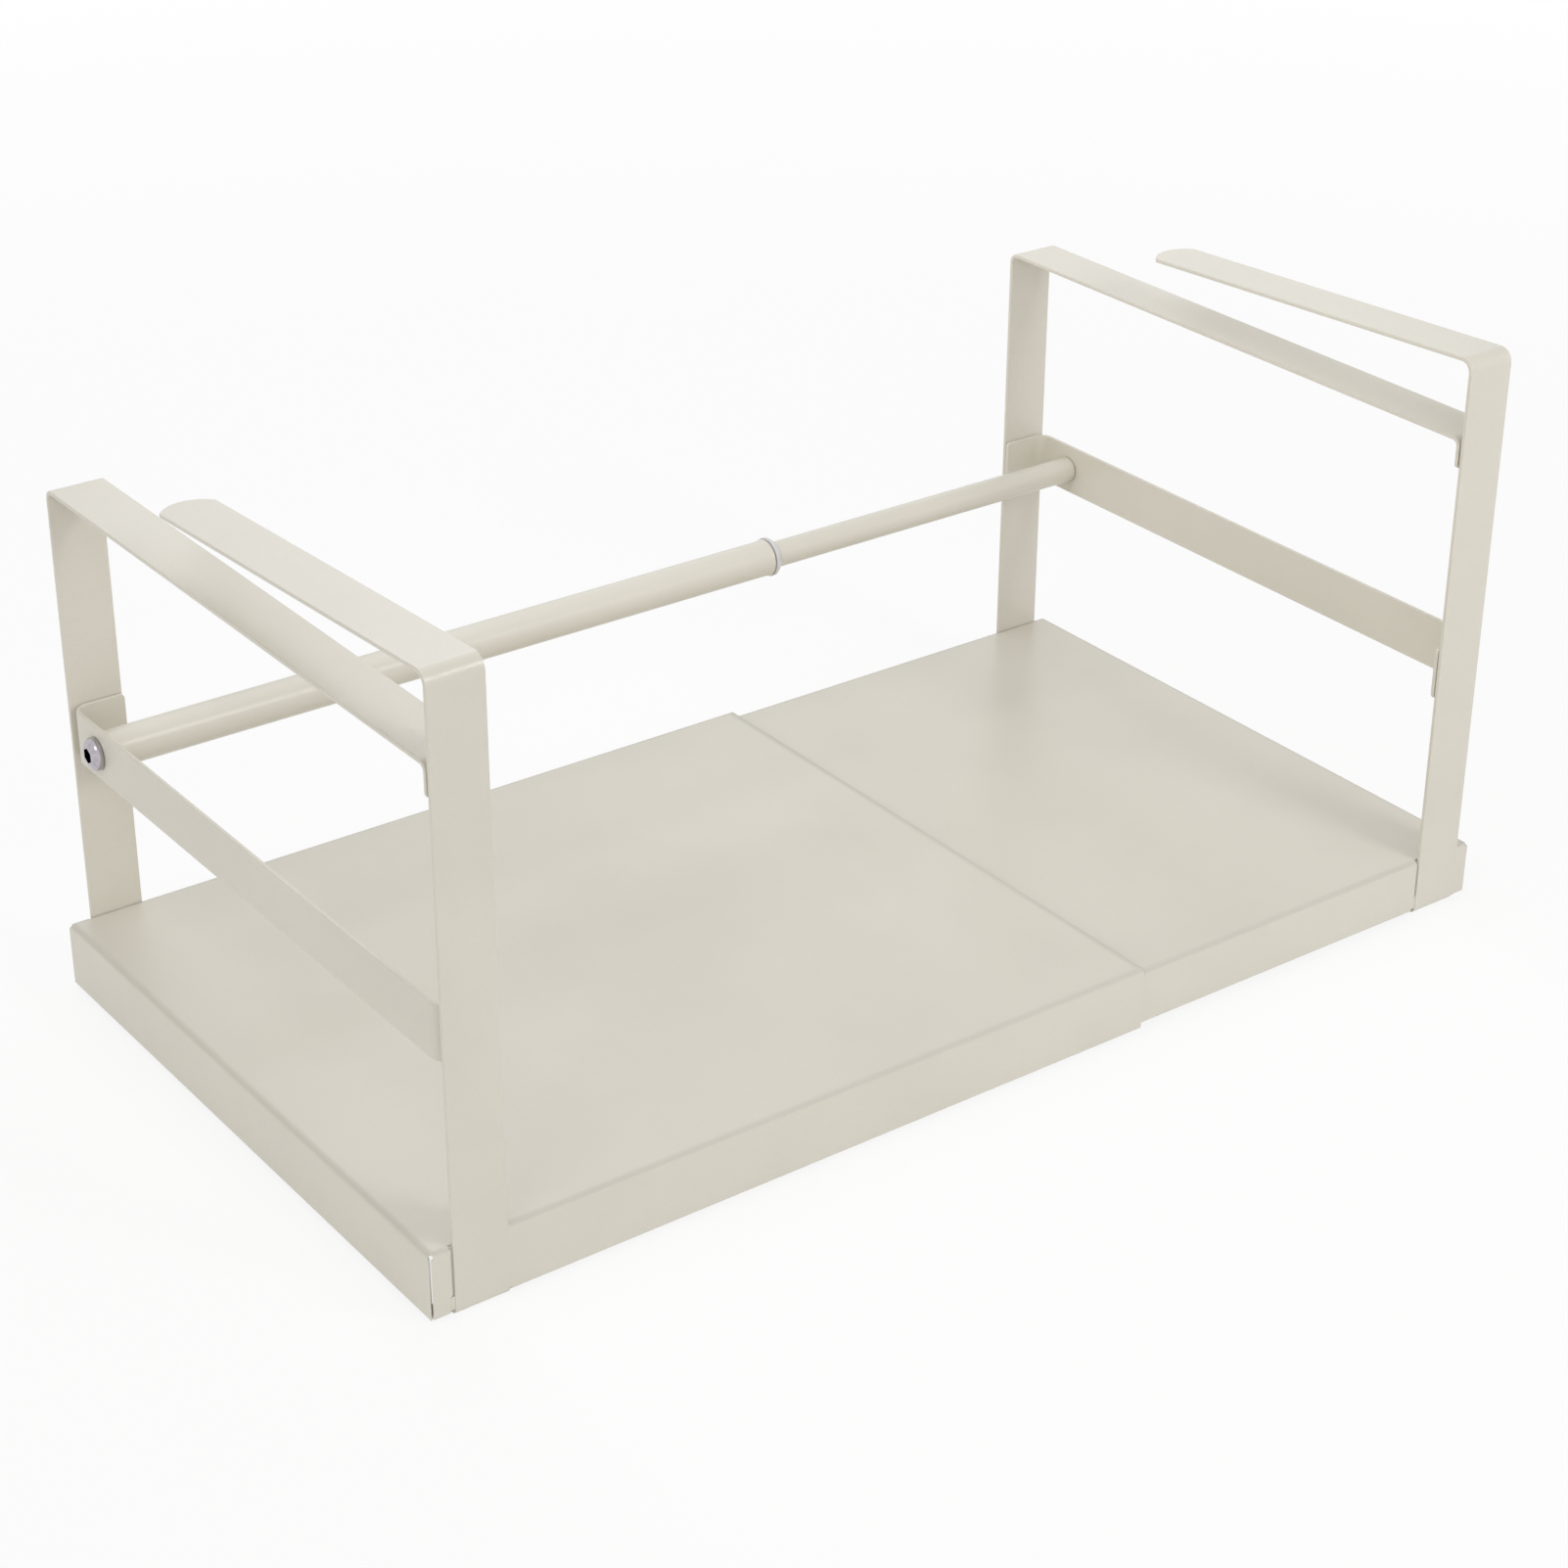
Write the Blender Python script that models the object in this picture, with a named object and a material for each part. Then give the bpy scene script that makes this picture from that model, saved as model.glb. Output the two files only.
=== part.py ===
"""Extending under-shelf rack of powder-coated sheet steel.

Two trays, one inside the other, hang between posts of bent strip. Each front post ends in a prong,
and each rear post in a level strip that runs forward under the prong. A shelf board goes between
them. A strip braces the posts of each side at half height, and a telescopic rod joins the two
braces near the back. The right half slides along X in the left half.

Axes: X to the right along the slide, Y to the back, Z up. The origin is under the middle of the
rack as it is set here, on the plane that it stands on.
"""

import math

import bmesh
import bpy
from mathutils import Matrix, Vector

MM = 0.001

# Clearances
seat_gap = 0.3 * MM
bush_gap = 0.2 * MM
thread_gap = 0.25 * MM
tray_play = 1.3 * MM

# Whole rack, as it is set
rack_length = 455.0 * MM
rack_depth = 250.0 * MM
rack_height = 221.6 * MM

# Flat strip of the posts and braces
strip_width = 20.0 * MM
strip_thickness = 1.5 * MM
strip_edge_radius = 0.35 * MM
strip_corner_radius = 1.5 * MM

# Posts
front_top_radius = 5.0 * MM
rear_top_radius = 4.0 * MM
foot_radius = 3.2 * MM
foot_length = 9.5 * MM
tab_bend_radius = 3.5 * MM
prong_length = 168.0 * MM
prong_droop = math.radians(3.0)
prong_tip_radius = 12.0 * MM
shelf_slot_height = 29.3 * MM
post_tab_length = 11.5 * MM
post_tab_gap = 0.7 * MM
post_weld_radius = 0.7 * MM
post_weld_drop = 8.0 * MM
post_weld_margin = 1.0 * MM

# Trays
sheet = 0.8 * MM
tray_bend_radius = 2.2 * MM
tray_hem_radius = 1.0 * MM
left_tray_length = 291.0 * MM
left_tray_height = 24.5 * MM
right_tray_length = 285.0 * MM
left_lip_width = 7.2 * MM
right_lip_width = 6.0 * MM
slit_width = 0.6 * MM
slit_hole_radius = 0.85 * MM
slit_hole_drop = 1.3 * MM

# Posts in the notches of the trays
left_post_inset = 8.5 * MM
right_post_inset = 6.0 * MM
notch_side_gap = 1.1 * MM
notch_depth_gap = 0.5 * MM
notch_foot_side_gap = 1.9 * MM
notch_foot_height = 6.5 * MM

# Braces
brace_height = 100.8 * MM
brace_bend_radius = 6.0 * MM

# Telescopic rod
rod_back_inset = 21.0 * MM
outer_tube_radius = 7.0 * MM
outer_tube_wall = 0.8 * MM
outer_tube_end = 293.0 * MM
flare_radius = 7.3 * MM
flare_length = 2.0 * MM
inner_tube_radius = 5.1 * MM
inner_tube_wall = 0.8 * MM
inner_tube_start = 175.0 * MM
tube_end_rounding = 0.25 * MM

# Collar in the mouth of the outer tube
collar_rim_gap = 0.4 * MM
collar_rim_radius = 7.6 * MM
collar_rim_length = 1.3 * MM
collar_cone_radius = 6.2 * MM
collar_length = 3.7 * MM
collar_sleeve_length = 12.0 * MM

# Glide on the hidden end of the inner tube
glide_head_length = 8.0 * MM
glide_spigot_length = 9.0 * MM
glide_chamfer = 0.8 * MM

# Threaded plugs and screws at the two ends of the rod
plug_length = 15.0 * MM
screw_head_radius = 6.0 * MM
screw_head_height = 3.4 * MM
screw_rim_height = 0.7 * MM
screw_flat_radius = 3.2 * MM
screw_shank_radius = 3.0 * MM
screw_shank_length = 14.0 * MM
screw_socket_across_flats = 5.0 * MM
screw_socket_depth = 2.2 * MM
brace_hole_radius = screw_shank_radius + seat_gap

# How finely curves are cut
bend_steps = 8
tip_steps = 10
corner_steps = 4
edge_steps = 2
round_sides = 32
dome_steps = 6

# Places that follow from the sizes
left_end = -rack_length / 2
right_end = rack_length / 2
front_face = -rack_depth / 2
tray_fit = sheet + seat_gap

left_foot_floor = 0.0
left_tray_floor = left_foot_floor + strip_thickness + seat_gap
left_tray_top = left_tray_floor + left_tray_height
right_tray_floor = left_tray_floor + tray_fit
right_tray_top = left_tray_top - sheet - tray_play
right_foot_floor = right_tray_floor - seat_gap - strip_thickness

level_strip_top = rack_height - shelf_slot_height
left_post_x = left_end + left_post_inset
right_post_x = right_end - right_post_inset - strip_width
rod_y = rack_depth / 2 - rod_back_inset


def clear_scene():
    for item in list(bpy.data.objects):
        bpy.data.objects.remove(item, do_unlink=True)


def paint(name, colour, roughness, metallic):
    """A finish of one colour, roughness and metallic value."""
    material = bpy.data.materials.new(name)
    material.use_nodes = True
    shader = material.node_tree.nodes["Principled BSDF"]
    shader.inputs["Base Color"].default_value = (*colour, 1.0)
    shader.inputs["Roughness"].default_value = roughness
    shader.inputs["Metallic"].default_value = metallic
    material.diffuse_color = (*colour, 1.0)
    return material


def coated_steel(name):
    return paint(name + "_coating", (0.67, 0.64, 0.56), 0.42, 0.0)


def add_object(name, mesh, parent=None, location=(0.0, 0.0, 0.0), material=None):
    """Put a mesh in the scene at a place given in the rack's own frame."""
    piece = bpy.data.objects.new(name, mesh)
    bpy.context.scene.collection.objects.link(piece)
    piece.location = Vector(location)
    if parent is not None:
        piece.parent = parent
        piece.location = Vector(location) - parent.location
    if material is not None:
        piece.data.materials.clear()
        piece.data.materials.append(material)
    return piece


def finish_mesh(bm, name):
    """Turn a bmesh into a mesh with its faces pointing out."""
    bmesh.ops.recalc_face_normals(bm, faces=bm.faces)
    mesh = bpy.data.meshes.new(name)
    bm.to_mesh(mesh)
    bm.free()
    return mesh


def smooth_round_faces(piece):
    piece.data.shade_smooth()
    piece.data.set_sharp_from_angle(angle=math.radians(35.0))


def combine(target, tool, operation):
    """Cut, join or intersect the target with a tool, and throw the tool away."""
    modifier = target.modifiers.new(operation.title(), "BOOLEAN")
    modifier.operation = operation
    modifier.solver = "EXACT"
    modifier.object = tool
    depsgraph = bpy.context.evaluated_depsgraph_get()
    mesh = bpy.data.meshes.new_from_object(target.evaluated_get(depsgraph))
    target.modifiers.clear()
    target.data = mesh
    bpy.data.objects.remove(tool, do_unlink=True)


def arc(centre, radius, start, end, steps):
    """Points on a flat arc from one angle to another."""
    angles = [start + (end - start) * step / steps for step in range(steps + 1)]
    return [(centre[0] + radius * math.cos(a), centre[1] + radius * math.sin(a)) for a in angles]


def rounded_outline(low, high, radii, steps):
    """A rectangle with a radius at each corner, from the low corner round against the clock."""
    corners = [(low[0], low[1]), (high[0], low[1]), (high[0], high[1]), (low[0], high[1])]
    outline = []
    for number, (corner, radius) in enumerate(zip(corners, radii)):
        if radius <= 0.0:
            outline.append(corner)
            continue
        inward = ((1, 1), (-1, 1), (-1, -1), (1, -1))[number]
        centre = (corner[0] + inward[0] * radius, corner[1] + inward[1] * radius)
        start = math.pi + number * math.pi / 2
        outline += arc(centre, radius, start, start + math.pi / 2, steps)
    return outline


def prism(name, outline, place, start, end):
    """Extrude a flat outline between two distances. place(u, v, w) turns it to its axes."""
    bm = bmesh.new()
    rings = [[bm.verts.new(place(u, v, w)) for u, v in outline] for w in (start, end)]
    count = len(outline)
    for number in range(count):
        after = (number + 1) % count
        bm.faces.new((rings[0][number], rings[0][after], rings[1][after], rings[1][number]))
    bm.faces.new(rings[0])
    bm.faces.new(rings[1])
    return add_object(name, finish_mesh(bm, name))


def box(name, low, high):
    """A plain block between two corners."""
    outline = rounded_outline(low[:2], high[:2], (0.0,) * 4, 1)
    return prism(name, outline, lambda u, v, w: (u, v, w), low[2], high[2])


def round_bar(name, start, end, radius, sides):
    """A plain round bar between two points."""
    axis = Vector(end) - Vector(start)
    bm = bmesh.new()
    bmesh.ops.create_cone(bm, cap_ends=True, segments=sides, radius1=radius, radius2=radius,
                          depth=axis.length)
    turn = axis.to_track_quat("Z", "Y").to_matrix().to_4x4()
    middle = Matrix.Translation((Vector(start) + Vector(end)) / 2)
    bmesh.ops.transform(bm, matrix=middle @ turn, verts=bm.verts)
    return add_object(name, finish_mesh(bm, name))


def bent_line(corners, radii):
    """Points and side directions along a flat line with a round bend at each inner corner.

    The side direction points to the outside of the bends, which all turn left.
    """
    points = [Vector(corner) for corner in corners]
    line = []
    for number, point in enumerate(points):
        before = (point - points[number - 1]).normalized() if number else None
        after = (points[number + 1] - point).normalized() if number + 1 < len(points) else None
        if before is None or after is None:
            direction = after if before is None else before
            line.append((point, Vector((direction.y, -direction.x))))
            continue
        turn = before.angle(after)
        radius = radii[number - 1]
        side = Vector((before.y, -before.x))
        start = point - before * radius * math.tan(turn / 2)
        centre = start - side * radius
        for step in range(bend_steps + 1):
            angle = turn * step / bend_steps
            outward = side * math.cos(angle) + before * math.sin(angle)
            line.append((centre + outward * radius, outward))
    return line


def strip_section():
    """Section of the flat strip: across its width and through its thickness."""
    half = (strip_width / 2, strip_thickness / 2)
    return rounded_outline((-half[0], -half[1]), half, (strip_edge_radius,) * 4, edge_steps)


def sweep_strip(name, stations, place):
    """Carry the strip's section along its stations: point, side and share of the full width."""
    section = strip_section()
    bm = bmesh.new()
    rings = []
    for point, side, share in stations:
        ring = []
        for across, through in section:
            spot = point + side * through
            ring.append(bm.verts.new(place(spot.x, spot.y, across * share)))
        rings.append(ring)
    count = len(section)
    for first, second in zip(rings, rings[1:]):
        for number in range(count):
            after = (number + 1) % count
            bm.faces.new((first[number], first[after], second[after], second[number]))
    bm.faces.new(rings[0])
    bm.faces.new(rings[-1])
    return finish_mesh(bm, name)


def prong_tip(tip, inward, side):
    """Stations along the round end of the prong, from its tip to its full width."""
    stations = []
    widest = math.asin(strip_width / 2 / prong_tip_radius)
    for step in range(1, tip_steps + 1):
        angle = widest * step / tip_steps
        travel = prong_tip_radius * (1 - math.cos(angle))
        share = 2 * prong_tip_radius * math.sin(angle) / strip_width
        stations.append((tip + inward * travel, side, share))
    return stations


def cut_end(end, inward, side):
    """Stations along a square end of the strip, with its two corners rounded."""
    stations = []
    for step in range(corner_steps + 1):
        angle = math.pi / 2 * step / corner_steps
        travel = strip_corner_radius * (1 - math.cos(angle))
        narrowing = strip_corner_radius * (1 - math.sin(angle))
        stations.append((end + inward * travel, side, 1 - 2 * narrowing / strip_width))
    return stations


def finished_line(corners, radii, first_end, last_end):
    """Stations of a whole bent strip, with an end shape for its first and its last point."""
    line = bent_line(corners, radii)
    (first, first_side), (last, last_side) = line[0], line[-1]
    stations = first_end(first, (line[1][0] - first).normalized(), first_side)
    stations += [(point, side, 1.0) for point, side in line[1:-1]]
    return stations + last_end(last, (line[-2][0] - last).normalized(), last_side)[::-1]


def build_front_post(name, parent, post_x, front, floor):
    """The front strip: prong, post, and a foot that turns in under the tray's lip."""
    half = strip_thickness / 2
    front_y = front + half
    floor_z = floor + half
    bend = front_top_radius - half
    lift = bend * ((1 + math.sin(prong_droop)) / math.cos(prong_droop) - 1)
    prong_corner = Vector((front_y, rack_height - half + lift))
    backward = Vector((math.cos(prong_droop), -math.sin(prong_droop)))
    tip = prong_corner + backward * (prong_length - half)
    corners = [tip, prong_corner, (front_y, floor_z), (front + foot_length, floor_z)]
    radii = [bend, foot_radius - half]
    stations = finished_line(corners, radii, prong_tip, cut_end)
    mesh = sweep_strip(name, stations, lambda y, z, x: (x, y, z))
    post = add_object(name, mesh, parent, (post_x + strip_width / 2, 0.0, 0.0),
                      coated_steel(name))
    smooth_round_faces(post)
    return post


def build_rear_post(name, parent, post_x, front, rear, floor):
    """The rear strip: foot, post, level strip, and a tab welded to the back of the front post."""
    half = strip_thickness / 2
    rear_y = rear - half
    floor_z = floor + half
    strip_z = level_strip_top - half
    tab_face = front + strip_thickness + post_tab_gap
    tab_y = tab_face + half
    tab_end = level_strip_top - post_tab_length
    corners = [(rear - foot_length, floor_z), (rear_y, floor_z), (rear_y, strip_z),
               (tab_y, strip_z), (tab_y, tab_end)]
    radii = [radius - half for radius in (foot_radius, rear_top_radius, tab_bend_radius)]
    stations = finished_line(corners, radii, cut_end, cut_end)
    mesh = sweep_strip(name, stations, lambda y, z, x: (x, y, z))
    middle_x = post_x + strip_width / 2
    post = add_object(name, mesh, parent, (middle_x, 0.0, 0.0), coated_steel(name))
    weld_y = tab_face - (post_tab_gap - seat_gap) + post_weld_radius
    weld_z = level_strip_top - post_weld_drop
    reach = strip_width / 2 - post_weld_margin
    weld = round_bar(name + "_weld", (middle_x - reach, weld_y, weld_z),
                     (middle_x + reach, weld_y, weld_z), post_weld_radius, 12)
    combine(post, weld, "UNION")
    smooth_round_faces(post)
    return post


def build_brace(name, parent, outer_x, inward, front, rear):
    """A strip on edge from post to post. Its ends turn inward and cover the backs of the posts."""
    half = strip_thickness / 2
    front_y = front + strip_thickness + seat_gap + half
    rear_y = rear - strip_thickness - seat_gap - half
    run_x = outer_x + inward * half
    tab_x = outer_x + inward * strip_width
    corners = [(tab_x, rear_y), (run_x, rear_y), (run_x, front_y), (tab_x, front_y)]
    if inward < 0:
        corners.reverse()
    stations = finished_line(corners, [brace_bend_radius - half] * 2, cut_end, cut_end)
    mesh = sweep_strip(name, stations, lambda x, y, z: (x, y, z))
    brace = add_object(name, mesh, parent, (0.0, 0.0, brace_height), coated_steel(name))
    reach = inward * 2 * strip_thickness
    drill = round_bar(name + "_drill", (outer_x - reach, rod_y, brace_height),
                      (outer_x + reach, rod_y, brace_height), brace_hole_radius, round_sides)
    combine(brace, drill, "DIFFERENCE")
    smooth_round_faces(brace)
    return brace


def folded_block(name, low, high, bend, hem, closed):
    """A block with the rounded edges of folded sheet, as two rounded prisms that meet in a mitre.

    closed is the end, -1 or 1, whose upper edge is folded too.
    """
    beyond = 2 * (high[2] - low[2])
    across = rounded_outline(low[1:], high[1:], (hem, hem, bend, bend), bend_steps // 2)
    ends = (bend, 0.0) if closed > 0 else (0.0, bend)
    along = rounded_outline((low[0], low[2]), (high[0], high[2]), (0.0, 0.0) + ends,
                            bend_steps // 2)
    block = prism(name, across, lambda y, z, x: (x, y, z), low[0] - beyond, high[0] + beyond)
    mitre = prism(name + "_mitre", along, lambda x, z, y: (x, y, z), low[1] - beyond,
                  high[1] + beyond)
    combine(block, mitre, "INTERSECT")
    return block


def cut_corner_slit(tray, corner, inward, floor):
    """The open seam between two flanges at a corner, with a round hole at its upper end."""
    reach = tray_bend_radius + slit_hole_radius
    hole_z = corner.z - slit_hole_drop
    middle = Vector((corner.x, corner.y, (floor - sheet + hole_z) / 2)) + inward * reach / 2
    size = (reach + 2 * sheet, slit_width, hole_z - floor + sheet)
    bm = bmesh.new()
    bmesh.ops.create_cube(bm, size=1.0)
    turn = Matrix.Rotation(math.atan2(inward.y, inward.x), 4, "Z")
    stretch = Matrix.Diagonal((*size, 1.0))
    bmesh.ops.transform(bm, matrix=Matrix.Translation(middle) @ turn @ stretch, verts=bm.verts)
    combine(tray, add_object("slit", finish_mesh(bm, "slit")), "DIFFERENCE")
    start = Vector((corner.x, corner.y, hole_z))
    hole = round_bar("slit_hole", start - inward * sheet, start + inward * reach,
                     slit_hole_radius, 16)
    combine(tray, hole, "DIFFERENCE")


def cut_post_notch(tray, post_x, face_y, inward, floor, top):
    """The slot in a flange that takes a post, wider at the foot, and the gap in its lip."""
    left = post_x - notch_side_gap
    foot_left = post_x - notch_foot_side_gap
    right = post_x + strip_width + seat_gap
    below = floor - sheet
    above = top + sheet
    foot_top = floor + notch_foot_height
    outline = [(foot_left, below), (right, below), (right, above), (left, above),
               (left, foot_top), (foot_left, foot_top)]
    near, far = sorted((face_y - inward * sheet,
                        face_y + inward * (strip_thickness + notch_depth_gap)))
    slot = prism("notch", outline, lambda x, z, y: (x, y, z), near, far)
    combine(tray, slot, "DIFFERENCE")
    near, far = sorted((face_y + inward * tray_hem_radius,
                        face_y + inward * (foot_radius + seat_gap)))
    gap = box("lip_gap", (foot_left - seat_gap, near, below),
              (right + seat_gap, far, floor + 2 * sheet))
    combine(tray, gap, "DIFFERENCE")


def build_tray(name, parent, low, high, lip, post_x, closed):
    """A folded tray, open below and at one end, with return lips and post notches."""
    beyond = 5 * MM
    tray = folded_block(name, low, high, tray_bend_radius, tray_hem_radius, closed)
    left = low[0] + sheet if closed < 0 else low[0] - beyond
    right = high[0] - sheet if closed > 0 else high[0] + beyond
    hollow = folded_block("hollow", (left, low[1] + sheet, low[2] + sheet),
                          (right, high[1] - sheet, high[2] - sheet), tray_bend_radius - sheet,
                          tray_hem_radius - sheet, closed)
    combine(tray, hollow, "DIFFERENCE")
    window = box("window", (left, low[1] + lip, low[2] - sheet),
                 (right, high[1] - lip, low[2] + 2 * sheet))
    combine(tray, window, "DIFFERENCE")
    end_x = low[0] if closed < 0 else high[0]
    for corner_y, inward_y in ((low[1], 1), (high[1], -1)):
        inward = Vector((-closed, inward_y, 0.0)).normalized()
        cut_corner_slit(tray, Vector((end_x, corner_y, high[2])), inward, low[2])
        cut_post_notch(tray, post_x, corner_y, inward_y, low[2], high[2])
    tray.data.name = name
    tray.parent = parent
    tray.location = -parent.location
    tray.data.materials.clear()
    tray.data.materials.append(coated_steel(name))
    smooth_round_faces(tray)
    return tray


def turned_piece(name, parent, start_x, profile, material):
    """Turn a profile of (along, radius) points about the rod's axis.

    A profile that starts and ends on the axis is a solid piece. Any other is a closed ring.
    """
    solid = profile[0][1] == 0.0
    bm = bmesh.new()
    rings = []
    for number in range(round_sides):
        angle = 2 * math.pi * number / round_sides
        y, z = math.cos(angle), math.sin(angle)
        rings.append([bm.verts.new((along, radius * y, radius * z)) for along, radius in profile])
    count = len(profile)
    spans = range(count - 1) if solid else range(count)
    for number, ring in enumerate(rings):
        beside = rings[(number + 1) % round_sides]
        for point in spans:
            after = (point + 1) % count
            bm.faces.new((ring[point], ring[after], beside[after], beside[point]))
    if solid:
        bmesh.ops.remove_doubles(bm, verts=bm.verts, dist=0.001 * MM)
    piece = add_object(name, finish_mesh(bm, name), parent, (start_x, rod_y, brace_height),
                       material)
    smooth_round_faces(piece)
    return piece


def build_outer_tube(parent, start_x, end_x):
    """The thick tube, with a slight flare at its mouth."""
    length = end_x - start_x
    bore = outer_tube_radius - outer_tube_wall
    flare_bore = flare_radius - outer_tube_wall
    rounding = tube_end_rounding
    profile = [(0.0, bore), (0.0, outer_tube_radius - rounding), (rounding, outer_tube_radius),
               (length - flare_length, outer_tube_radius), (length - rounding, flare_radius),
               (length, flare_radius - rounding), (length, flare_bore),
               (length - flare_length, bore)]
    return turned_piece("rod_outer_tube", parent, start_x, profile,
                        coated_steel("rod_outer_tube"))


def build_inner_tube(parent, start_x, end_x):
    """The thin tube that slides in the thick one."""
    length = end_x - start_x
    bore = inner_tube_radius - inner_tube_wall
    rounding = tube_end_rounding
    profile = [(0.0, bore), (0.0, inner_tube_radius - rounding), (rounding, inner_tube_radius),
               (length - rounding, inner_tube_radius), (length, inner_tube_radius - rounding),
               (length, bore)]
    return turned_piece("rod_inner_tube", parent, start_x, profile,
                        coated_steel("rod_inner_tube"))


def build_collar(parent, mouth_x):
    """The plastic collar at the tube's mouth: a sleeve, a rim and a short cone."""
    sleeve = outer_tube_radius - outer_tube_wall - bush_gap
    bore = inner_tube_radius + seat_gap
    rim_start = collar_rim_gap
    rim_end = rim_start + collar_rim_length
    end = collar_length
    profile = [(-collar_sleeve_length, bore), (-collar_sleeve_length, sleeve),
               (rim_start, sleeve), (rim_start, collar_rim_radius), (rim_end, collar_rim_radius),
               (end - tube_end_rounding, collar_cone_radius),
               (end, collar_cone_radius - tube_end_rounding), (end, bore)]
    return turned_piece("rod_collar", parent, mouth_x, profile,
                        paint("rod_collar_plastic", (0.72, 0.71, 0.70), 0.45, 0.0))


def build_glide(parent, tube_start_x):
    """The plastic end piece that centres the inner tube in the outer one."""
    head = outer_tube_radius - outer_tube_wall - bush_gap
    spigot = inner_tube_radius - inner_tube_wall - bush_gap
    profile = [(-glide_head_length - seat_gap, 0.0),
               (-glide_head_length - seat_gap, head - glide_chamfer),
               (-glide_head_length - seat_gap + glide_chamfer, head), (-seat_gap, head),
               (-seat_gap, spigot), (glide_spigot_length, spigot), (glide_spigot_length, 0.0)]
    return turned_piece("rod_glide", parent, tube_start_x, profile,
                        paint("rod_glide_plastic", (0.75, 0.75, 0.74), 0.5, 0.0))


def build_plug(name, parent, end_x, inward, bore):
    """The threaded steel plug in the end of a tube."""
    outer = bore - bush_gap
    inner = screw_shank_radius + thread_gap
    near, far = sorted((0.0, inward * plug_length))
    profile = [(near, inner), (near, outer), (far, outer), (far, inner)]
    return turned_piece(name, parent, end_x, profile,
                        paint(name + "_steel", (0.55, 0.55, 0.56), 0.35, 1.0))


def build_screw(name, parent, seat_x, inward):
    """A domed screw with a hexagonal socket, from the brace's outer face into the plug."""
    half_dome = math.atan2(screw_head_height - screw_rim_height,
                           screw_head_radius - screw_flat_radius)
    sweep = 2 * (math.pi / 2 - half_dome)
    rise = screw_head_height - screw_rim_height
    run = screw_head_radius - screw_flat_radius
    dome = []
    for step in range(dome_steps + 1):
        angle = sweep * step / dome_steps
        out = run * math.sin(angle) / math.sin(sweep)
        drop = rise * (1 - math.cos(angle)) / (1 - math.cos(sweep))
        dome.append((-screw_head_height + drop, screw_flat_radius + out))
    profile = [(-screw_head_height, 0.0)] + dome
    profile += [(0.0, screw_head_radius), (0.0, screw_shank_radius),
                (screw_shank_length, screw_shank_radius), (screw_shank_length, 0.0)]
    profile = [(inward * along, radius) for along, radius in profile]
    seat = seat_x - inward * seat_gap
    screw = turned_piece(name, parent, seat, profile,
                         paint(name + "_chrome", (0.78, 0.78, 0.79), 0.12, 1.0))
    top = seat - inward * screw_head_height
    socket_radius = screw_socket_across_flats / 2 / math.cos(math.pi / 6)
    socket = round_bar("socket", (top - inward * screw_rim_height, rod_y, brace_height),
                       (top + inward * screw_socket_depth, rod_y, brace_height),
                       socket_radius, 6)
    combine(screw, socket, "DIFFERENCE")
    smooth_round_faces(screw)
    return screw


def add_half(name, location):
    """An empty that carries one half of the rack."""
    half = bpy.data.objects.new(name, None)
    bpy.context.scene.collection.objects.link(half)
    half.location = location
    half.empty_display_size = 30 * MM
    return half


def build_left_half(half):
    front, rear = front_face, -front_face
    low = (left_end, front, left_tray_floor)
    high = (left_end + left_tray_length, rear, left_tray_top)
    build_tray("left_tray", half, low, high, left_lip_width, left_post_x, -1)
    build_front_post("left_front_post", half, left_post_x, front, left_foot_floor)
    build_rear_post("left_rear_post", half, left_post_x, front, rear, left_foot_floor)
    build_brace("left_brace", half, left_post_x, 1, front, rear)
    tube_start = left_post_x + strip_thickness + seat_gap
    mouth = left_end + outer_tube_end
    build_outer_tube(half, tube_start, mouth)
    build_collar(half, mouth)
    build_plug("left_rod_plug", half, tube_start, 1, outer_tube_radius - outer_tube_wall)
    build_screw("left_rod_screw", half, left_post_x, 1)


def build_right_half(half):
    front = front_face + tray_fit
    rear = -front
    low = (right_end - right_tray_length, front, right_tray_floor)
    high = (right_end, rear, right_tray_top)
    build_tray("right_tray", half, low, high, right_lip_width, right_post_x, 1)
    build_front_post("right_front_post", half, right_post_x, front, right_foot_floor)
    build_rear_post("right_rear_post", half, right_post_x, front, rear, right_foot_floor)
    outer_x = right_post_x + strip_width
    build_brace("right_brace", half, outer_x, -1, front, rear)
    tube_end = outer_x - strip_thickness - seat_gap
    tube_start = left_end + inner_tube_start
    build_inner_tube(half, tube_start, tube_end)
    build_glide(half, tube_start)
    build_plug("right_rod_plug", half, tube_end, -1, inner_tube_radius - inner_tube_wall)
    build_screw("right_rod_screw", half, outer_x, -1)


def main():
    clear_scene()
    build_left_half(add_half("left_half", Vector((0.0, 0.0, 0.0))))
    slide_origin = Vector((right_post_x + strip_width, rod_y, brace_height))
    build_right_half(add_half("right_half", slide_origin))


main()
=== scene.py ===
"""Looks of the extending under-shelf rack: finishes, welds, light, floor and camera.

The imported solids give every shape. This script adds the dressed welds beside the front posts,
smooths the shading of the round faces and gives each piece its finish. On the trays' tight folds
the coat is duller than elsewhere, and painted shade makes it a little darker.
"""

import math

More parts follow.
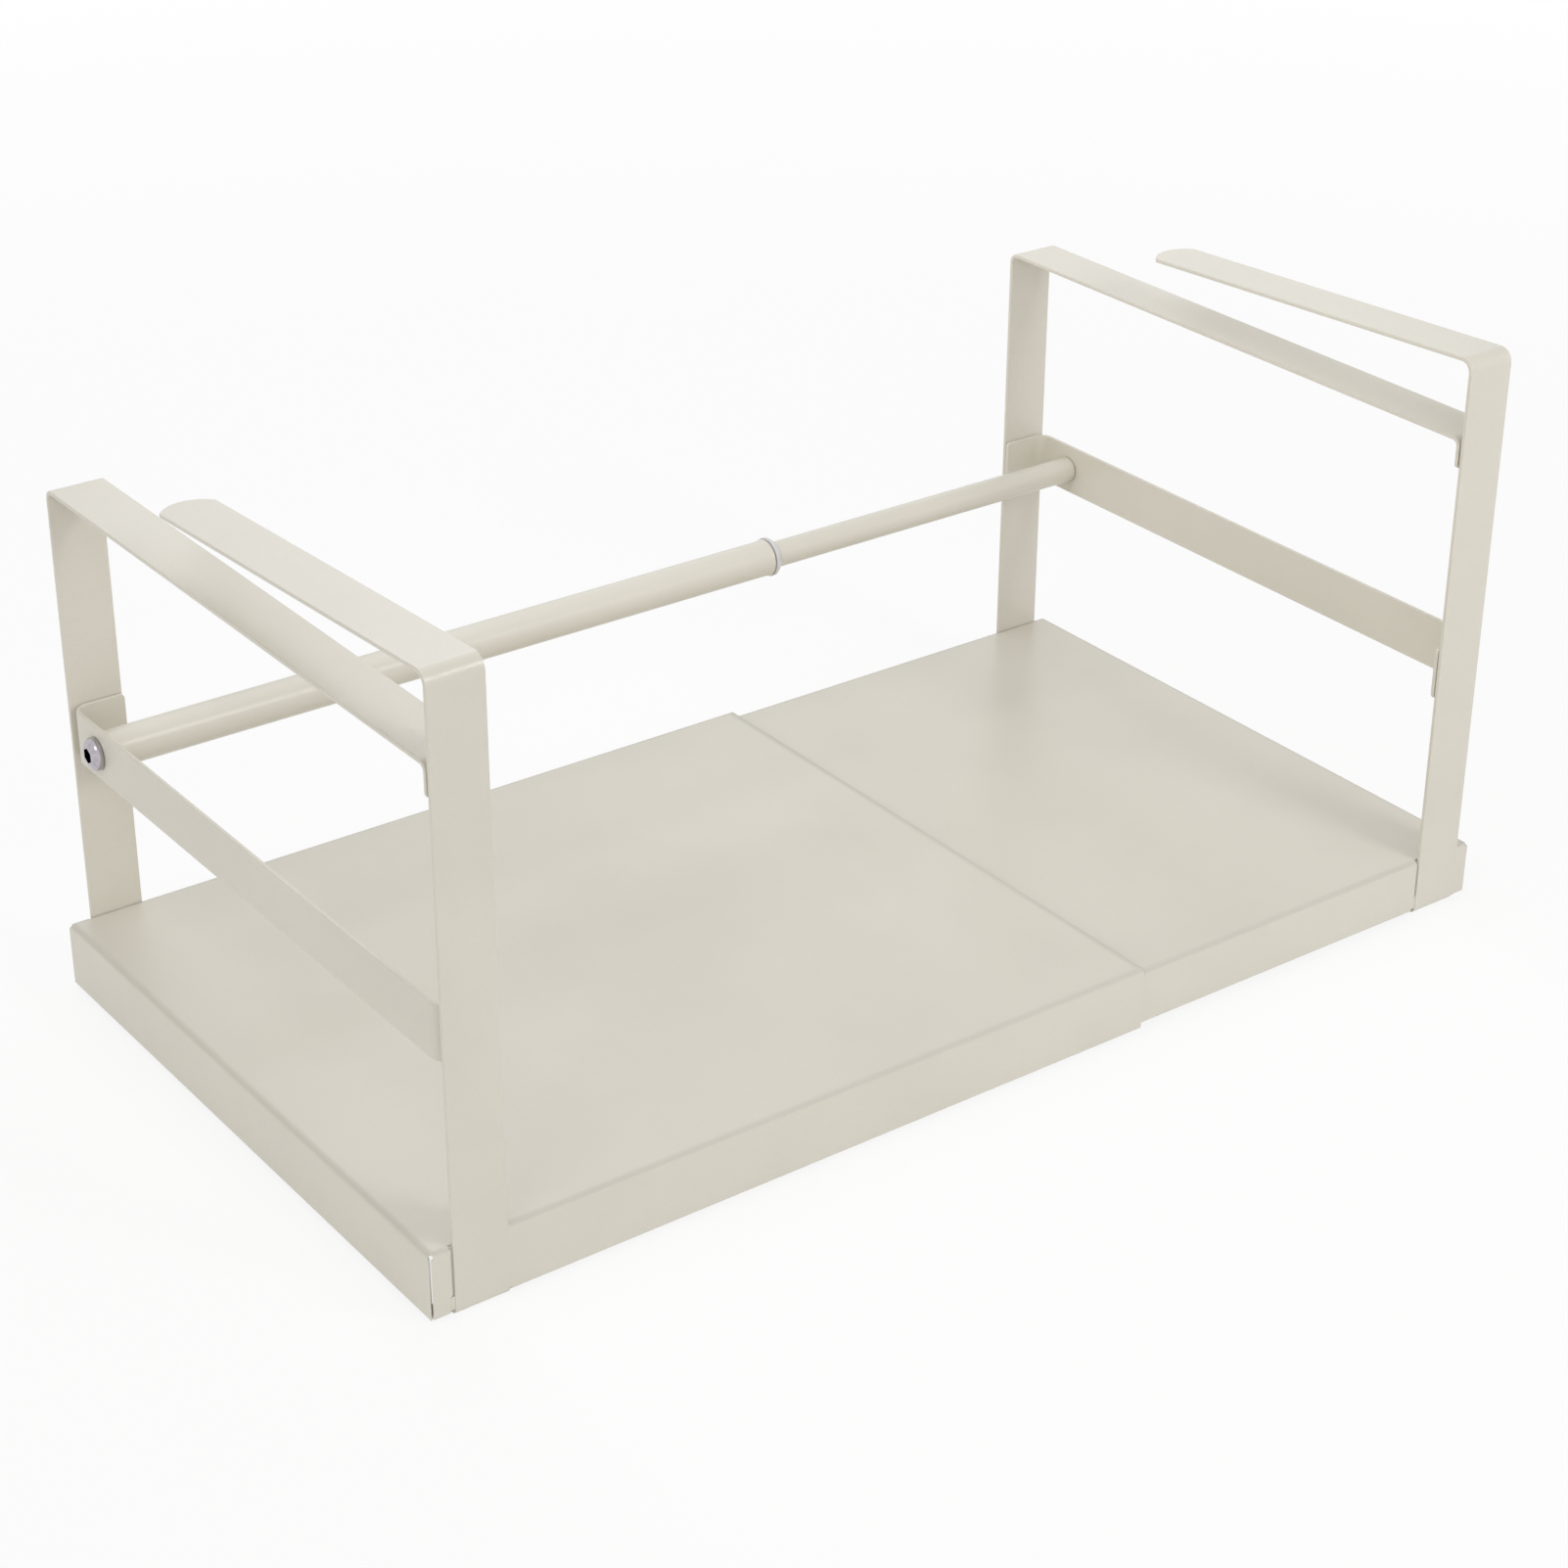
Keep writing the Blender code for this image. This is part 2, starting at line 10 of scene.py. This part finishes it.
import bmesh
import bpy
from mathutils import Euler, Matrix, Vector

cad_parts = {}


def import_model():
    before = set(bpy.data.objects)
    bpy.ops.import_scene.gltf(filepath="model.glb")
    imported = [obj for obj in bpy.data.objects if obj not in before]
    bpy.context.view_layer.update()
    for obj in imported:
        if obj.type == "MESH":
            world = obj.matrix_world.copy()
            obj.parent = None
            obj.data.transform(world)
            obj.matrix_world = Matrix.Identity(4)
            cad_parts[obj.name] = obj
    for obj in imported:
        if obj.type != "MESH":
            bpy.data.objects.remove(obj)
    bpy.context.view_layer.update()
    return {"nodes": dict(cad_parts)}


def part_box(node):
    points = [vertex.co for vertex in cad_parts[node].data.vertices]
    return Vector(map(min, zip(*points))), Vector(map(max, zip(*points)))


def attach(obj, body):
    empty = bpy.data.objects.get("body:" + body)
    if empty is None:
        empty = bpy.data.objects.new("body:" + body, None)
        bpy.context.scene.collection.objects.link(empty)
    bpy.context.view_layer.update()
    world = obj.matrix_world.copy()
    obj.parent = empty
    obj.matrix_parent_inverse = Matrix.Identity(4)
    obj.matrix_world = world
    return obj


MM = 0.001

# Ways out of the rack
to_left = (-1.0, 0.0, 0.0)
to_right = (1.0, 0.0, 0.0)
to_front = (0.0, -1.0, 0.0)
to_back = (0.0, 1.0, 0.0)
upward = (0.0, 0.0, 1.0)

# Colours of the pieces and the floor, in sRGB from 0 to 255
cream = (214, 210, 197)
cream_light = (218, 214, 201)
cream_dark = (209, 205, 191)
# Painted shade for the trays' tight folds
fold_shade_colour = (176, 173, 164)
collar_grey = (214, 213, 212)
collar_shade = (206, 205, 204)
glide_grey = (222, 222, 219)
glide_shade = (212, 212, 208)
chrome_tint = (190, 185, 190)
chrome_haze = (174, 170, 176)
# Painted shade for the screws' sockets
socket_painted_shade = (92, 85, 90)
plug_tint = (178, 178, 180)
plug_haze = (150, 150, 153)
floor_white = (250, 250, 249)

# Noise: its layers of finer and finer detail, and the limits between which most of it lies
one_layer = 1.0
two_layers = 2.0
three_layers = 3.0
four_layers = 4.0
noise_low = 0.35
noise_high = 0.65

# Powder coat
cloud_size = 60 * MM
ripple_size = 2.2 * MM
ripple_height = 0.012 * MM
grain_size = 0.55 * MM
grain_height = 0.004 * MM
speckle_start = 0.55
speckle_share = 0.35
coat_roughness = (0.28, 0.35)
coat_refraction = 1.5

# The coat on the trays' tight folds: duller, and a little darker by painted shade
fold_core = 0.6 * MM
fold_inward = 3.0 * MM
fold_downward = 1.6 * MM
fold_shade_share = 0.35
fold_dullness = 0.35

# Chrome of the screws, and the reach of the painted shade in its socket
chrome_haze_size = 1.5 * MM
chrome_polish_size = 0.8 * MM
chrome_roughness = (0.06, 0.14)
socket_reach = 3.0 * MM
socket_fade = 0.7 * MM

# Plated steel of the plugs
plug_haze_size = 2.0 * MM
plug_polish_size = 0.5 * MM
plug_roughness = (0.25, 0.42)

# Plastic of the collar and the glide
plastic_haze_size = 6 * MM
plastic_grain_size = 0.3 * MM
plastic_grain_height = 0.006 * MM
plastic_roughness = (0.42, 0.55)
plastic_refraction = 1.46

# Shading of round and flat faces
join_distance = 0.002 * MM
sharp_angle = math.radians(35.0)
flat_face_weight = 100

# Dressed welds beside the front posts
weld_thickness = 0.5 * MM
weld_cover = 0.4 * MM
seam_proud = 0.02 * MM
seam_gap = 0.3 * MM
notch_gap = 1.1 * MM
notch_weld_depth = 0.9 * MM
foot_gap = 1.9 * MM
foot_weld_depth = 0.3 * MM
foot_weld_height = 6.0 * MM
hem_height = 1.0 * MM
bend_height = 2.2 * MM
bend_turn = math.radians(80.0)
bend_steps = 6

# Light from all round, as linear colours, and where the light of one side starts
even_light = (0.40, 0.40, 0.40)
front_light = (0.46, 0.455, 0.485)
left_light = (0.60, 0.57, 0.53)
side_light_edge = 0.3
pure_white = (1.0, 1.0, 1.0, 1.0)

# Soft lamps
lamp_aim = Vector((0.0, 0.0, 0.1))
neutral = (1.0, 1.0, 1.0)
warm = (1.0, 0.93, 0.95)
cool = (0.85, 0.85, 1.0)

# Floor, and its share of pure white near the rack and far off
floor_radius = 6.0
floor_sides = 96
floor_drop = 0.2 * MM
floor_roughness = 0.9
floor_gloss = 0.1
floor_near = 0.4
floor_far = 1.5
whitening_near = 0.85
whitening_far = 1.0

# Camera, fitted to the photograph's straight edges
camera_place = (-0.6373, -0.86067, 0.63026)
camera_turn = (62.207, -0.2806, -36.298)
camera_lens = 76.869
camera_sensor = 36.0
camera_clip = 20 * MM


def linear(colour):
    """An sRGB colour of 0 to 255 as the linear colour that the shaders take."""
    parts = [part / 255 for part in colour]
    return tuple(p / 12.92 if p <= 0.04045 else ((p + 0.055) / 1.055) ** 2.4 for p in parts)


def new_material(name):
    """A new material, its node tree and its main shader."""
    material = bpy.data.materials.new(name)
    material.use_nodes = True
    tree = material.node_tree
    return material, tree, tree.nodes["Principled BSDF"]


def add_node(tree, kind, values=None, **settings):
    """A node with its settings and with values for its inputs by name or number."""
    item = tree.nodes.new(kind)
    for key, value in settings.items():
        setattr(item, key, value)
    for key, value in (values or {}).items():
        item.inputs[key].default_value = value
    return item


def fill_inputs(tree, node, inputs):
    """Give a node its inputs in order, each the output of another node or a plain value."""
    for socket, item in zip(node.inputs, inputs):
        if isinstance(item, bpy.types.NodeSocket):
            tree.links.new(item, socket)
        else:
            socket.default_value = item


def number_math(tree, operation, *inputs):
    """The result of one operation on numbers."""
    node = add_node(tree, "ShaderNodeMath", operation=operation)
    fill_inputs(tree, node, inputs)
    return node.outputs["Value"]


def vector_math(tree, operation, *inputs):
    """The result of one operation on vectors. A dot product or a length is a number."""
    node = add_node(tree, "ShaderNodeVectorMath", operation=operation)
    fill_inputs(tree, node, inputs)
    return node.outputs["Value" if operation in ("DOT_PRODUCT", "LENGTH") else "Vector"]


def spread(tree, value, low, high, start=noise_low, end=noise_high):
    """Carry a value from between start and end to between low and high."""
    ranged = add_node(tree, "ShaderNodeMapRange", {"From Min": start, "From Max": end,
                                                   "To Min": low, "To Max": high})
    tree.links.new(value, ranged.inputs["Value"])
    return ranged.outputs["Result"]


def object_place(tree):
    """Each spot's place in the piece's own space."""
    return add_node(tree, "ShaderNodeTexCoord").outputs["Object"]


def object_noise(tree, size, layers):
    """Noise in the piece's own space, with features of about the given size."""
    noise = add_node(tree, "ShaderNodeTexNoise", {"Scale": 1.0 / size, "Detail": layers})
    tree.links.new(object_place(tree), noise.inputs["Vector"])
    return noise.outputs["Fac"]


def varied(tree, size, layers, low=0.0, high=1.0):
    """A value that noise varies between low and high."""
    return spread(tree, object_noise(tree, size, layers), low, high)


def blend_colours(tree, factor, first, second):
    """The first colour where the factor is 0 and the second where it is 1."""
    mix = add_node(tree, "ShaderNodeMix", data_type="RGBA")
    tree.links.new(factor, mix.inputs["Factor"])
    for name, colour in (("A", first), ("B", second)):
        socket = [item for item in mix.inputs if item.name == name and item.type == "RGBA"][0]
        if isinstance(colour, tuple):
            socket.default_value = (*colour, 1.0)
        else:
            tree.links.new(colour, socket)
    return [item for item in mix.outputs if item.type == "RGBA"][0]


def add_bump(tree, height, distance, below=None):
    """Fine relief of the given height, on top of other relief if there is some."""
    bump = add_node(tree, "ShaderNodeBump", {"Strength": 1.0, "Distance": distance})
    tree.links.new(height, bump.inputs["Height"])
    if below is not None:
        tree.links.new(below, bump.inputs["Normal"])
    return bump.outputs["Normal"]


def from_side(tree, place, side, outward):
    """How far inside one side of a box each spot lies, measured along the way out of it."""
    along = vector_math(tree, "DOT_PRODUCT", vector_math(tree, "SUBTRACT", place, side), outward)
    return number_math(tree, "MULTIPLY", along, -1.0)


def on_folds(tree, tray):
    """1 on the tight folds between a tray's flat top and its flanges, fading to 0 beside them."""
    low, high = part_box(tray)
    place = object_place(tree)
    nearest = from_side(tree, place, low, to_left)
    for side, outward in ((low, to_front), (high, to_right), (high, to_back)):
        nearest = number_math(tree, "MINIMUM", nearest, from_side(tree, place, side, outward))
    beside = spread(tree, nearest, 1.0, 0.0, fold_core, fold_inward)
    under_top = from_side(tree, place, high, upward)
    below = spread(tree, under_top, 1.0, 0.0, fold_core, fold_downward)
    return number_math(tree, "MULTIPLY", beside, below)


def cream_coating(name, tray=None):
    """Semi-gloss powder coat: faint clouds and grain in its colour, and a fine orange peel.

    On a tray's tight folds the coat is thinner and so duller, and painted shade makes it a little
    darker.
    """
    material, tree, shader = new_material(name)
    clouds = varied(tree, cloud_size, three_layers)
    grain = varied(tree, grain_size, two_layers)
    clouded = blend_colours(tree, clouds, linear(cream), linear(cream_light))
    speckle = spread(tree, grain, 0.0, speckle_share, speckle_start, 1.0)
    colour = blend_colours(tree, speckle, clouded, linear(cream_dark))
    roughness = varied(tree, ripple_size, two_layers, *coat_roughness)
    if tray:
        folds = on_folds(tree, tray)
        # Painted shade: the colour is darkened on the folds.
        painted_fold_shade = number_math(tree, "MULTIPLY", folds, fold_shade_share)
        colour = blend_colours(tree, painted_fold_shade, colour, linear(fold_shade_colour))
        roughness = number_math(tree, "MULTIPLY_ADD", folds, fold_dullness, roughness)
    ripple = add_bump(tree, object_noise(tree, ripple_size, one_layer), ripple_height)
    relief = add_bump(tree, grain, grain_height, ripple)
    tree.links.new(colour, shader.inputs["Base Color"])
    tree.links.new(roughness, shader.inputs["Roughness"])
    tree.links.new(relief, shader.inputs["Normal"])
    shader.inputs["IOR"].default_value = coat_refraction
    return material


def socket_shade_mask(tree, screw):
    """1 on the walls and floor of a screw's socket, where painted shade darkens the chrome, and 0
    elsewhere, fading in below its mouth.
    """
    low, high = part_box(screw)
    middle = (low + high) / 2
    face, inward = (low.x, to_right) if middle.x < 0.0 else (high.x, to_left)
    offset = vector_math(tree, "SUBTRACT", object_place(tree), (face, middle.y, middle.z))
    radius = vector_math(tree, "LENGTH", vector_math(tree, "MULTIPLY", offset, (0.0, 1.0, 1.0)))
    near_axis = number_math(tree, "LESS_THAN", radius, socket_reach)
    depth = vector_math(tree, "DOT_PRODUCT", offset, inward)
    below_mouth = spread(tree, depth, 0.0, 1.0, 0.0, socket_fade)
    return number_math(tree, "MULTIPLY", near_axis, below_mouth)


def polished_chrome(screw):
    """Bright plating with a faint haze. Inside the socket it is darkened by painted shade."""
    material, tree, shader = new_material(screw + "_chrome")
    haze = varied(tree, chrome_haze_size, three_layers)
    bright = blend_colours(tree, haze, linear(chrome_tint), linear(chrome_haze))
    # Painted shade: the chrome is darkened inside the socket.
    colour = blend_colours(tree, socket_shade_mask(tree, screw), bright, linear(socket_painted_shade))
    roughness = varied(tree, chrome_polish_size, four_layers, *chrome_roughness)
    tree.links.new(colour, shader.inputs["Base Color"])
    tree.links.new(roughness, shader.inputs["Roughness"])
    shader.inputs["Metallic"].default_value = 1.0
    return material


def plated_steel():
    """Dull grey plating, a little patchy."""
    material, tree, shader = new_material("plated_steel")
    haze = varied(tree, plug_haze_size, four_layers)
    colour = blend_colours(tree, haze, linear(plug_tint), linear(plug_haze))
    roughness = varied(tree, plug_polish_size, three_layers, *plug_roughness)
    tree.links.new(colour, shader.inputs["Base Color"])
    tree.links.new(roughness, shader.inputs["Roughness"])
    shader.inputs["Metallic"].default_value = 1.0
    return material


def moulded_plastic(name, tint, shade):
    """Satin plastic with the faint grain of its mould."""
    material, tree, shader = new_material(name)
    haze = varied(tree, plastic_haze_size, three_layers)
    colour = blend_colours(tree, haze, linear(tint), linear(shade))
    grain = object_noise(tree, plastic_grain_size, two_layers)
    tree.links.new(colour, shader.inputs["Base Color"])
    tree.links.new(spread(tree, grain, *plastic_roughness), shader.inputs["Roughness"])
    tree.links.new(add_bump(tree, grain, plastic_grain_height), shader.inputs["Normal"])
    shader.inputs["IOR"].default_value = plastic_refraction
    return material


def shading_group():
    """Joins the split triangles and shades round faces smooth and edges sharp."""
    group = bpy.data.node_groups.new("round_face_shading", "GeometryNodeTree")
    group.interface.new_socket("Geometry", in_out="INPUT", socket_type="NodeSocketGeometry")
    group.interface.new_socket("Geometry", in_out="OUTPUT", socket_type="NodeSocketGeometry")
    start = add_node(group, "NodeGroupInput")
    end = add_node(group, "NodeGroupOutput")
    plain = add_node(group, "GeometryNodeRemoveAttribute", {"Name": "custom_normal"})
    joined = add_node(group, "GeometryNodeMergeByDistance", {"Distance": join_distance})
    smooth = add_node(group, "GeometryNodeSetShadeSmooth", {"Shade Smooth": True}, domain="FACE")
    sharp = add_node(group, "GeometryNodeSetShadeSmooth", {"Shade Smooth": False}, domain="EDGE")
    angle = add_node(group, "GeometryNodeInputMeshEdgeAngle")
    steep = add_node(group, "FunctionNodeCompare", {"B": sharp_angle}, data_type="FLOAT",
                     operation="GREATER_THAN")
    group.links.new(angle.outputs["Unsigned Angle"], steep.inputs["A"])
    group.links.new(steep.outputs["Result"], sharp.inputs["Selection"])
    chain = [start, plain, joined, smooth, sharp, end]
    for first, second in zip(chain, chain[1:]):
        group.links.new(first.outputs["Geometry"], second.inputs["Geometry"])
    return group


def even_shading(piece, group):
    """Shade a piece's round faces smooth and keep its flat faces flat."""
    modifier = piece.modifiers.new("Round faces", "NODES")
    modifier.node_group = group
    weighted = piece.modifiers.new("Flat faces", "WEIGHTED_NORMAL")
    weighted.keep_sharp = True
    weighted.weight = flat_face_weight


def finish(piece, material):
    """Give a piece one material."""
    piece.data.materials.clear()
    piece.data.materials.append(material)


def folded_outline(depth, bottom, top, front):
    """Y and Z round a strip of weld that follows a flange up and over the tray's bend."""
    centre = Vector((front + bend_height, top - bend_height))
    outer = [Vector((front + depth, bottom))]
    inner = [Vector((front + depth + weld_thickness, bottom))]
    for step in range(bend_steps + 1):
        angle = math.pi - bend_turn * step / bend_steps
        outward = Vector((math.cos(angle), math.sin(angle)))
        outer.append(centre + outward * (bend_height - depth))
        inner.append(centre + outward * (bend_height - depth - weld_thickness))
    return outer + inner[::-1]


def upright_outline(depth, bottom, top, front):
    """Y and Z round a short upright weld with its two ends rounded off."""
    half = weld_thickness / 2
    outline = []
    for end_z, start in ((bottom + half, math.pi), (top - half, 0.0)):
        for step in range(bend_steps + 1):
            angle = start + math.pi * step / bend_steps
            outline.append(Vector((front + depth + half + half * math.cos(angle),
                                   end_z + half * math.sin(angle))))
    return outline


def weld_bar(name, start_x, end_x, outline, body, material):
    """A dressed weld: an outline in Y and Z carried along X."""
    bm = bmesh.new()
    rings = [[bm.verts.new((x, spot.x, spot.y)) for spot in outline] for x in (start_x, end_x)]
    for number in range(len(outline)):
        after = (number + 1) % len(outline)
        bm.faces.new((rings[0][number], rings[0][after], rings[1][after], rings[1][number]))
    bm.faces.new(rings[0])
    bm.faces.new(rings[1])
    bmesh.ops.recalc_face_normals(bm, faces=bm.faces)
    mesh = bpy.data.meshes.new(name)
    bm.to_mesh(mesh)
    bm.free()
    mesh.shade_smooth()
    mesh.set_sharp_from_angle(angle=sharp_angle)
    piece = bpy.data.objects.new(name, mesh)
    bpy.context.scene.collection.objects.link(piece)
    piece.data.materials.append(material)
    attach(piece, body)


def add_welds(half, material):
    """The dressed weld at the right of the front post, and the two in its notch at the left."""
    low_tray, high_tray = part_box(half + "_tray")
    low_post, high_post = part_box(half + "_front_post")
    front = low_post.y
    body = half + "_half"
    bottom = low_tray.z + hem_height
    flush = folded_outline(-seam_proud, bottom, high_tray.z, front)
    weld_bar(half + "_post_weld", high_post.x - weld_cover, high_post.x + seam_gap + weld_cover,
             flush, body, material)
    sunk = folded_outline(notch_weld_depth, bottom, high_tray.z, front)
    weld_bar(half + "_notch_weld", low_post.x - notch_gap - weld_cover,
             low_post.x + seam_gap, sunk, body, material)
    foot = upright_outline(foot_weld_depth, bottom, low_tray.z + foot_weld_height, front)
    weld_bar(half + "_foot_weld", low_post.x - foot_gap, low_post.x + seam_gap, foot, body,
             material)


def seen_directly(tree):
    """1 for the rays that see the background itself: straight, in a gloss or through glass."""
    rays = add_node(tree, "ShaderNodeLightPath")
    seen = rays.outputs["Is Camera Ray"]
    for kind in ("Is Glossy Ray", "Is Transmission Ray"):
        seen = number_math(tree, "MAXIMUM", seen, rays.outputs[kind])
    return seen


def floor_material():
    """Matt white that takes the rack's shadow. Seen directly, it passes into pure white."""
    material, tree, shader = new_material("floor_white")
    shader.inputs["Base Color"].default_value = (*linear(floor_white), 1.0)
    shader.inputs["Roughness"].default_value = floor_roughness
    shader.inputs["Specular IOR Level"].default_value = floor_gloss
    distance = vector_math(tree, "LENGTH", object_place(tree))
    share = spread(tree, distance, whitening_near, whitening_far, floor_near, floor_far)
    whitening = number_math(tree, "MULTIPLY", seen_directly(tree), share)
    white = add_node(tree, "ShaderNodeEmission", {"Color": pure_white, "Strength": 1.0})
    mixed = add_node(tree, "ShaderNodeMixShader")
    fill_inputs(tree, mixed, (whitening, shader.outputs["BSDF"], white.outputs["Emission"]))
    tree.links.new(mixed.outputs["Shader"], tree.nodes["Material Output"].inputs["Surface"])
    return material


def add_floor():
    """A round white floor that reaches far past the rack."""
    bm = bmesh.new()
    bmesh.ops.create_circle(bm, cap_ends=True, segments=floor_sides, radius=floor_radius)
    mesh = bpy.data.meshes.new("floor")
    bm.to_mesh(mesh)
    bm.free()
    floor = bpy.data.objects.new("floor", mesh)
    bpy.context.scene.collection.objects.link(floor)
    floor.location.z = -floor_drop
    floor.data.materials.append(floor_material())


def side_light(tree, direction, toward, colour):
    """The colour of a soft light that comes from one side, by the direction looked in."""
    facing = vector_math(tree, "DOT_PRODUCT", direction, toward)
    share = spread(tree, facing, 0.0, 1.0, side_light_edge, 1.0)
    return vector_math(tree, "MULTIPLY", colour, share)


def add_world():
    """Light from all round, with more from the front and the left. Seen directly, it is white."""
    world = bpy.data.worlds.new("studio")
    bpy.context.scene.world = world
    world.use_nodes = True
    tree = world.node_tree
    direction = add_node(tree, "ShaderNodeTexCoord").outputs["Generated"]
    total = even_light
    for toward, colour in ((to_front, front_light), (to_left, left_light)):
        total = vector_math(tree, "ADD", total, side_light(tree, direction, toward, colour))
    lit = tree.nodes["Background"]
    tree.links.new(total, lit.inputs["Color"])
    white = add_node(tree, "ShaderNodeBackground", {"Color": pure_white, "Strength": 1.0})
    room = add_node(tree, "ShaderNodeMixShader")
    fill_inputs(tree, room, (seen_directly(tree), lit.outputs["Background"],
                             white.outputs["Background"]))
    tree.links.new(room.outputs["Shader"], tree.nodes["World Output"].inputs["Surface"])


def add_lamp(name, place, size, power, colour):
    """A soft square lamp at a place, turned to the rack. The camera doesn't see it."""
    lamp = bpy.data.lights.new(name, "AREA")
    lamp.shape = "SQUARE"
    lamp.size = size
    lamp.energy = power
    lamp.color = colour
    holder = bpy.data.objects.new(name, lamp)
    bpy.context.scene.collection.objects.link(holder)
    holder.visible_camera = False
    holder.location = place
    holder.rotation_euler = (lamp_aim - Vector(place)).to_track_quat("-Z", "Y").to_euler()


def add_lamps():
    """The lamps that shape the rack: three large, a small one in front, and two close above."""
    add_lamp("over_left", place=(-0.85, -0.35, 1.15), size=0.6, power=2.1, colour=neutral)
    add_lamp("back_right", place=(1.0, 1.2, 0.8), size=1.0, power=1.0, colour=neutral)
    add_lamp("front_right", place=(1.2, -1.2, 0.8), size=1.0, power=1.7, colour=warm)
    add_lamp("front_window", place=(0.35, -1.05, 0.85), size=0.3, power=3.0, colour=neutral)
    add_lamp("near_back", place=(0.1, 0.55, 0.7), size=0.5, power=0.7, colour=cool)
    add_lamp("low_middle", place=(0.0, 0.1, 0.5), size=0.4, power=0.42, colour=neutral)


def add_camera():
    """The camera at the photograph's place, turn and width of view."""
    lens = bpy.data.cameras.new("camera")
    lens.sensor_width = camera_sensor
    lens.sensor_fit = "HORIZONTAL"
    lens.lens = camera_lens
    lens.clip_start = camera_clip
    camera = bpy.data.objects.new("camera", lens)
    bpy.context.scene.collection.objects.link(camera)
    camera.location = camera_place
    camera.rotation_euler = Euler([math.radians(turn) for turn in camera_turn])
    bpy.context.scene.camera = camera


def special_finishes():
    """The materials of the pieces that aren't in the plain cream coat, by the piece's name."""
    plating = plated_steel()
    finishes = {"left_rod_plug": plating, "right_rod_plug": plating}
    finishes["rod_collar"] = moulded_plastic("collar_plastic", collar_grey, collar_shade)
    finishes["rod_glide"] = moulded_plastic("glide_plastic", glide_grey, glide_shade)
    for tray in ("left_tray", "right_tray"):
        finishes[tray] = cream_coating(tray + "_coating", tray)
    for screw in ("left_rod_screw", "right_rod_screw"):
        finishes[screw] = polished_chrome(screw)
    return finishes


def main():
    """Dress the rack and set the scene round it."""
    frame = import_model()
    coating = cream_coating("cream_coating")
    finishes = special_finishes()
    group = shading_group()
    for name, piece in frame["nodes"].items():
        finish(piece, finishes.get(name, coating))
        even_shading(piece, group)
    add_welds("left", coating)
    add_welds("right", coating)
    add_floor()
    add_world()
    add_lamps()
    add_camera()
    bpy.context.scene.view_settings.view_transform = "Standard"


main()
